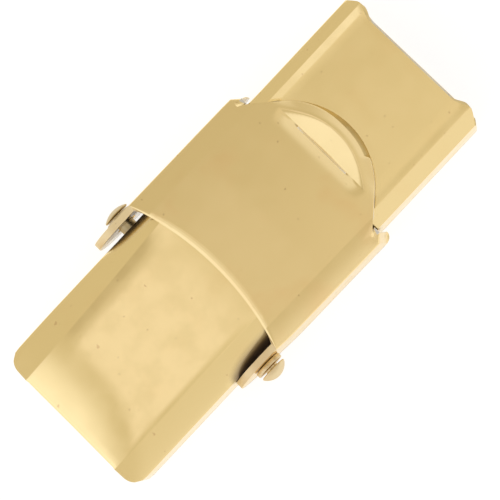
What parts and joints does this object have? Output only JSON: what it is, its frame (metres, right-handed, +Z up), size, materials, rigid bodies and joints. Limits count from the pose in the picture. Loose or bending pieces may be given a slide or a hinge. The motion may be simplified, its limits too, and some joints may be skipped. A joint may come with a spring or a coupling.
{
  "type": "cord clasp",
  "caption": "Flat tubular cord clasp with a riveted lever lid, a round nail tongue and a domed, closed rear end.",
  "frame": {"origin": "on the surface that the clasp lies on, below the middle of its box", "axes": "+X along the clasp towards its open mouth, +Y towards the rivet at the left, +Z up from the flat underside"},
  "size_m": [0.0168, 0.0078, 0.0032],
  "materials": {
    "body_plate": "polished gold plate",
    "lid_plate": "polished gold plate, bare white metal on the inside",
    "rivet_plate": "polished gold plate"
  },
  "bodies": {
    "body": {"body": "body_plate", "rivet_left": "rivet_plate", "rivet_right": "rivet_plate"},
    "lid": {"lid": "lid_plate"}
  },
  "joints": [
    {"name": "lid_hinge", "type": "hinge", "parent": "body", "child": "lid", "pos_m": [-0.00245, 0, 0.0015], "axis": [0, -1, 0], "range_deg": [0, 75]}
  ]
}
